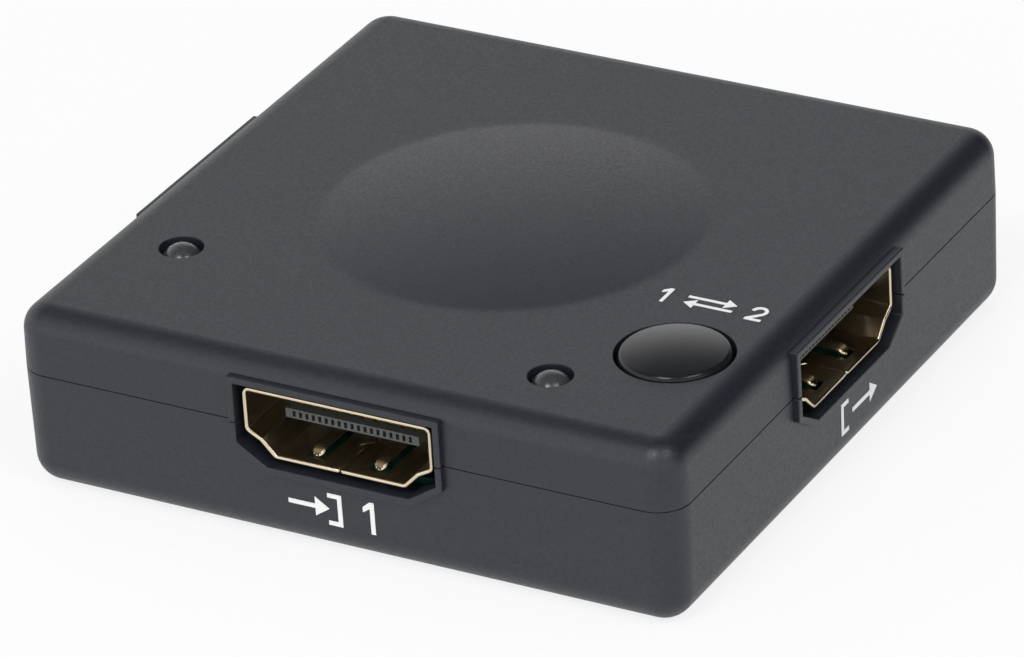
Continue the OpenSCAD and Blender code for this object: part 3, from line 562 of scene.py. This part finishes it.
class SWITCHBOX_OT_top_cover(Operator):
    """Moulds the top cover: drafted walls, rounded edges, low disc, holes, bosses and half-collars"""
    bl_idname = "switch_box.top_cover"
    bl_label = "Top cover"

    def execute(self, context):
        s = in_mm(context)
        z0, z1 = s.parting + s.groove, s.case_h
        roof = z1 - s.roof
        draft = (z1 - z0) * math.tan(math.radians(TOP_DRAFT))
        inner = s.corner - s.wall
        lip = inner + s.lip_t + s.lip_fit
        flat = s.corner - draft - s.top_edge
        o = collar_outline(s, s.rim_t / 2)
        bm = bmesh.new()
        section = [(flat - SLIVER, z1), (s.corner - draft, z1), (s.corner, z0), (lip, z0),
                   (lip, z0 + s.lip_h), (inner, z0 + s.lip_h), (inner, roof)]
        case_wall(bm, section, s.top_edge, s, [-o.x1, o.x1])
        button = (s.button_x, -s.button_back)
        lamps = [(s.lamp_a, -s.lamp_b), (-s.lamp_b, -s.lamp_a)]
        land = 1.1 * s.hole_edge
        for centre, radius in [(button, s.cap_r + s.cap_gap), *[(p, s.lamp_r + s.lamp_gap) for p in lamps]]:
            turned(bm, [(radius + land, z1), (radius, z1), (radius, roof)], centre,
                   [(1, s.hole_edge)], steps=96, segments=3)
        swelling = [(s.disc_r + s.disc_land, z1), *dome(s.disc_r, z1, s.disc_rise, 24)]
        turned(bm, swelling, (0, 0), [(1, s.disc_edge / 2)], steps=160, segments=3)
        post = [(s.post_r, roof), (s.post_r, s.high_post), (s.pilot_r, s.high_post),
                (s.pilot_r, s.pilot_top), (0, s.pilot_top)]
        for x in (-s.screw_at, s.screw_at):
            for y in (-s.screw_at, s.screw_at):
                turned(bm, post, (x, y), steps=32)
        bmesh.ops.remove_doubles(bm, verts=bm.verts[:], dist=WELD)
        fill_level(bm, z1)
        fill_level(bm, roof)
        open_walls(bm, s, True)
        half_collars(bm, s, True)
        piece = finish_piece(bm, "top_cover_moulding", "base",
                             grained_abs(context.scene.switch_box_finishes.case), "top_cover")
        add_weighted_normals(piece)
        return {"FINISHED"}


class SWITCHBOX_OT_bottom_cover(Operator):
    """Moulds the bottom cover: drafted walls, locating lip, posts, counterbores and half-collars"""
    bl_idname = "switch_box.bottom_cover"
    bl_label = "Bottom cover"

    def execute(self, context):
        s = in_mm(context)
        draft = s.parting * math.tan(math.radians(LOW_DRAFT))
        inner = s.corner - s.wall
        lip = inner + s.lip_t
        o = collar_outline(s, s.rim_t / 2)
        top = s.parting
        bm = bmesh.new()
        section = [(HUB, 0), (s.corner - draft, 0), (s.corner, top), (lip, top),
                   (lip, top + s.lip_h), (inner, top + s.lip_h), (inner, s.floor)]
        case_wall(bm, section, s.low_edge, s, [-o.x1, -o.x0, o.x0, o.x1])
        post = [(s.post_r, 0), (s.well_r, 0), (s.well_r, s.well_h), (s.shank_r, s.well_h),
                (s.shank_r, s.low_post), (s.post_r, s.low_post), (s.post_r, s.floor)]
        for x in (-s.screw_at, s.screw_at):
            for y in (-s.screw_at, s.screw_at):
                turned(bm, post, (x, y), [(1, s.hole_edge)], steps=48, segments=3)
        bmesh.ops.remove_doubles(bm, verts=bm.verts[:], dist=WELD)
        fill_level(bm, 0)
        fill_level(bm, s.floor)
        open_walls(bm, s, False)
        half_collars(bm, s, False)
        piece = finish_piece(bm, "bottom_cover_moulding", "base",
                             bpy.data.materials["abs_spark_eroded"], "bottom_cover")
        add_weighted_normals(piece)
        return {"FINISHED"}


class SWITCHBOX_OT_sockets(Operator):
    """Dresses the three sockets: gold sheet and contacts with eased edges, and a grey tongue block"""
    bl_idname = "switch_box.sockets"
    bl_label = "Sockets"

    def execute(self, context):
        s = in_mm(context)
        finishes = context.scene.switch_box_finishes
        sheet = gold_flash(finishes.gold)
        plastic = heatproof_plastic(finishes.connector)
        contact = contact_gold(finishes.contact)
        for socket in SOCKETS:
            eased_copy(f"{socket}_shell", f"{socket}_folded_sheet", sheet, s.sheet_edge)
            eased_copy(f"{socket}_contacts", f"{socket}_contact_rows", contact,
                       s.contact_edge)
            coat_nodes(plastic, "connector_plastic", f"{socket}_insulator")
        return {"FINISHED"}


class SWITCHBOX_OT_button(Operator):
    """Turns the select button: crowned cap, flange with a flat towards the wall, and stem"""
    bl_idname = "switch_box.button"
    bl_label = "Select button"

    def execute(self, context):
        s = in_mm(context)
        roof = s.case_h - s.roof
        flange = roof - s.flange_t
        stem = flange - s.stem_h
        lip = s.cap_r + s.cap_gap + s.flange_lip
        crown = dome(s.cap_r, s.case_h + s.cap_side, s.cap_rise, 12)
        points = [(0, stem), (s.stem_r, stem), (s.stem_r, flange), (lip, flange), (lip, roof),
                  (s.cap_r, roof), *crown]
        rounds = [(6, s.cap_edge), *[(i, s.flange_edge) for i in (4, 3, 1)]]
        bm = bmesh.new()
        turned(bm, points, (s.button_x, -s.button_back), rounds, steps=120, segments=6)
        flat_x = s.case_w / 2 - s.wall - s.flange_gap
        cut = bmesh.ops.bisect_plane(bm, geom=bm.verts[:] + bm.edges[:] + bm.faces[:], dist=WELD,
                                     plane_co=(flat_x, 0, 0), plane_no=(1, 0, 0), clear_outer=True)
        border = [g for g in cut["geom_cut"] if isinstance(g, bmesh.types.BMEdge)]
        bmesh.ops.holes_fill(bm, edges=border, sides=0)
        finish_piece(bm, "select_button_cap", "button",
                     smooth_abs(context.scene.switch_box_finishes.button), "select_button")
        return {"FINISHED"}


class SWITCHBOX_OT_lamps(Operator):
    """Casts the two lamp lenses over their lead frames"""
    bl_idname = "switch_box.lamps"
    bl_label = "Indicator lamps"

    def execute(self, context):
        s = in_mm(context)
        epoxy = hazy_epoxy(context.scene.switch_box_finishes.epoxy)
        top = s.case_h + s.lamp_proud
        foot = top - s.lamp_h
        r = s.lamp_r
        rim, ledge = r + s.lamp_rim, foot + s.lamp_rim_h
        turns = [math.radians(5 * i) for i in range(19)]
        crown = [(r * math.cos(a), top - r + r * math.sin(a)) for a in turns]
        points = [(0, foot), (rim, foot), (rim, ledge), (r, ledge), *crown]
        for i, centre in enumerate([(s.lamp_a, -s.lamp_b), (-s.lamp_b, -s.lamp_a)], 1):
            bm = bmesh.new()
            turned(bm, points, centre, [(2, s.lamp_rim_edge), (1, s.lamp_rim_edge)], steps=72, segments=3)
            finish_piece(bm, f"lamp_{i}_clear_lens", "base", epoxy, f"lamp_{i}_lens")
        return {"FINISHED"}


class SWITCHBOX_OT_inside(Operator):
    """Finishes the board, its parts, the tactile switch, the lamp leads and the screws"""
    bl_idname = "switch_box.inside"
    bl_label = "Board and small parts"

    def execute(self, context):
        f = context.scene.switch_box_finishes
        coat_nodes(solder_mask(f.mask), "board_laminate", "circuit_board")
        coat_nodes(plated_metal("tin_plate_matt", f.tin, (0.3, 0.46)), "tinned_metal",
                   "chip_leads", "regulator_leads", "part_ends", "switch_terminals",
                   "lamp_1_leads", "lamp_2_leads")
        coat_nodes(powdery_body("epoxy_moulding_resin", f.resin, (0.5, 0.66)), "chip_resin",
                   "chip_body", "regulator_body", "resistors", "switch_base")
        coat_nodes(powdery_body("ceramic_fired", f.ceramic, (0.45, 0.6)), "ceramic", "capacitors")
        steel = plated_metal("stainless_rolled_sheet", f.steel, (0.24, 0.4))
        coat_nodes(steel, "spring_steel", "switch_plate")
        self.set_snap_dome(steel, context.scene.switch_box_sizes.press)
        coat_nodes(powdery_body("acetal_moulded", f.plunger, (0.35, 0.48)), "plunger_plastic",
                   "switch_plunger")
        coat_nodes(plated_metal("zinc_plated_steel", f.screw, (0.3, 0.45)), "screw_steel", "case_screws")
        return {"FINISHED"}

    def set_snap_dome(self, steel, press):
        """The dome under the plunger, as a merged copy with a mesh of its own."""
        snap = merged_copy("switch_dome", "switch_snap_dome", steel, flat=0.01)
        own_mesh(snap)


class SWITCHBOX_OT_marks(Operator):
    """Inks the plain numbers and arrows"""
    bl_idname = "switch_box.marks"
    bl_label = "Printed marks"

    def execute(self, context):
        coat_nodes(printed_ink(context.scene.switch_box_finishes.ink), "white_ink", "printed_marks")
        return {"FINISHED"}


class SWITCHBOX_OT_stage(Operator):
    """Sets the pale floor, the soft light and the camera"""
    bl_idname = "switch_box.stage"
    bl_label = "Stage"

    def execute(self, context):
        scene = context.scene
        scene.view_settings.view_transform = "Standard"
        self.lay_floor(scene)
        self.light(scene)
        self.place_camera(scene)
        return {"FINISHED"}

    def lay_floor(self, scene):
        """A pale paper floor that the camera and reflections see mostly as plain white."""
        white_share = 0.82
        bm = bmesh.new()
        bmesh.ops.create_grid(bm, x_segments=2, y_segments=2, size=4)
        mesh = bpy.data.meshes.new("studio_floor")
        bm.to_mesh(mesh)
        bm.free()
        material, tree = new_tree("studio_paper")
        path = add_node(tree, "ShaderNodeLightPath")
        seen = path.outputs["Is Camera Ray"]
        for ray in ("Is Glossy Ray", "Is Transmission Ray"):
            seen = add_node(tree, "ShaderNodeMath", {0: seen, 1: path.outputs[ray]},
                            operation="MAXIMUM").outputs[0]
        share = add_node(tree, "ShaderNodeMath", {0: seen, 1: white_share}, operation="MULTIPLY")
        paper = add_node(tree, "ShaderNodeBsdfDiffuse", {"Color": (*scene.switch_box_finishes.paper, 1)})
        white = add_node(tree, "ShaderNodeEmission", {"Color": (1, 1, 1, 1), "Strength": 1.0})
        mix = add_node(tree, "ShaderNodeMixShader", {
            0: share.outputs[0], 1: paper.outputs[0], 2: white.outputs[0]})
        add_node(tree, "ShaderNodeOutputMaterial", {"Surface": mix.outputs[0]})
        mesh.materials.append(material)
        floor = bpy.data.objects.new("studio_floor", mesh)
        scene.collection.objects.link(floor)

    def light(self, scene):
        """A white tent with two soft boxes and two strips."""
        world = bpy.data.worlds.new("studio_tent")
        world.use_nodes = True
        tree = world.node_tree
        tree.nodes.clear()
        way = add_node(tree, "ShaderNodeTexCoord").outputs["Generated"]
        level = 1.0
        for toward, reach, glow in [
                ((0, 0, 1), (0.3, 0.9), (1.15, 0.1)),  # brightest near the floor and dim overhead
                ((0.62, 0.66, 0.42), (0.55, 0.85), (1.0, 0.0)),  # dark at the back right
                ((-0.44, -0.89, 0.12), (0.82, 0.97), (1.0, 1.4))]:  # a brighter card at the front left
            facing = add_node(tree, "ShaderNodeVectorMath", {0: way, 1: toward}, operation="DOT_PRODUCT")
            shade = add_node(tree, "ShaderNodeMapRange", {
                "Value": facing.outputs["Value"], "From Min": reach[0], "From Max": reach[1],
                "To Min": glow[0], "To Max": glow[1]}, interpolation_type="SMOOTHSTEP")
            level = add_node(tree, "ShaderNodeMath", {0: level, 1: shade.outputs[0]},
                             operation="MULTIPLY").outputs[0]
        sky = add_node(tree, "ShaderNodeBackground", {"Color": (1, 1, 1, 1), "Strength": level})
        add_node(tree, "ShaderNodeOutputWorld", {"Surface": sky.outputs[0]})
        scene.world = world
        for name, place, size, power, mirrored in [
                ("soft_box_above", (0.1, 0.15, 0.9), (0.9, 0.9), 1.5, False),
                ("soft_box_right", (0.75, 0.35, 0.45), (0.5, 0.5), 1.2, False),
                ("strip_box_left", (0.0, -0.48, 0.64), (0.24, 0.2), 2.1, True),
                ("strip_box_right", (0.47, -0.16, 0.63), (0.3, 0.2), 1.3, True)]:
            lamp = bpy.data.lights.new(name, "AREA")
            lamp.shape = "RECTANGLE"
            lamp.size, lamp.size_y = size
            lamp.energy = power
            holder = bpy.data.objects.new(name, lamp)
            holder.location = place
            holder.rotation_mode = "QUATERNION"
            holder.rotation_quaternion = Vector(place).to_track_quat("Z", "Y")
            holder.visible_glossy = mirrored
            scene.collection.objects.link(holder)

    def place_camera(self, scene):
        """The photograph's camera."""
        turn, lift, roll = (math.radians(a) for a in (CAMERA.turn, CAMERA.lift, CAMERA.roll))
        away = Vector((math.sin(turn) * math.cos(lift), -math.cos(turn) * math.cos(lift), math.sin(lift)))
        level = Vector((math.cos(turn), math.sin(turn), 0))
        upright = away.cross(level)
        across = level * math.cos(roll) + upright * math.sin(roll)
        up = upright * math.cos(roll) - level * math.sin(roll)
        data = bpy.data.cameras.new("photo_camera")
        data.sensor_fit = "HORIZONTAL"
        data.sensor_width = CAMERA.sensor_w
        data.lens = CAMERA.focal * CAMERA.sensor_w / CAMERA.image_w
        data.shift_x, data.shift_y = CAMERA.shift
        data.clip_start, data.clip_end = 0.01, 50
        camera = bpy.data.objects.new("photo_camera", data)
        place = Vector(CAMERA.aim) + away * CAMERA.distance
        camera.matrix_world = Matrix.Translation(place) @ Matrix((across, up, away)).transposed().to_4x4()
        scene.collection.objects.link(camera)
        scene.camera = camera


PIECES = [
    SWITCHBOX_OT_top_cover, SWITCHBOX_OT_bottom_cover, SWITCHBOX_OT_sockets, SWITCHBOX_OT_button,
    SWITCHBOX_OT_lamps, SWITCHBOX_OT_inside, SWITCHBOX_OT_marks, SWITCHBOX_OT_stage,
]


class SWITCHBOX_PT_panel(Panel):
    """Lists the sizes, the finishes and the pieces"""
    bl_idname = "SWITCHBOX_PT_panel"
    bl_label = "Switch box"
    bl_space_type = "VIEW_3D"
    bl_region_type = "UI"
    bl_category = "Switch box"

    def draw(self, context):
        for group in (context.scene.switch_box_sizes, context.scene.switch_box_finishes):
            box = self.layout.box()
            for prop in group.bl_rna.properties:
                if prop.type == "FLOAT":
                    box.prop(group, prop.identifier)
        for piece in PIECES:
            self.layout.operator(piece.bl_idname)


CLASSES = [SwitchBoxSizes, SwitchBoxFinishes, *PIECES, SWITCHBOX_PT_panel]


def register():
    for cls in CLASSES:
        bpy.utils.register_class(cls)
    bpy.types.Scene.switch_box_sizes = PointerProperty(type=SwitchBoxSizes)
    bpy.types.Scene.switch_box_finishes = PointerProperty(type=SwitchBoxFinishes)


def unregister():
    del bpy.types.Scene.switch_box_finishes
    del bpy.types.Scene.switch_box_sizes
    for cls in reversed(CLASSES):
        bpy.utils.unregister_class(cls)


def main():
    register()
    bpy.ops.switch_box.top_cover()
    bpy.ops.switch_box.bottom_cover()
    bpy.ops.switch_box.sockets()
    bpy.ops.switch_box.button()
    bpy.ops.switch_box.lamps()
    bpy.ops.switch_box.inside()
    bpy.ops.switch_box.marks()
    bpy.ops.switch_box.stage()


if __name__ == "__main__":
    main()
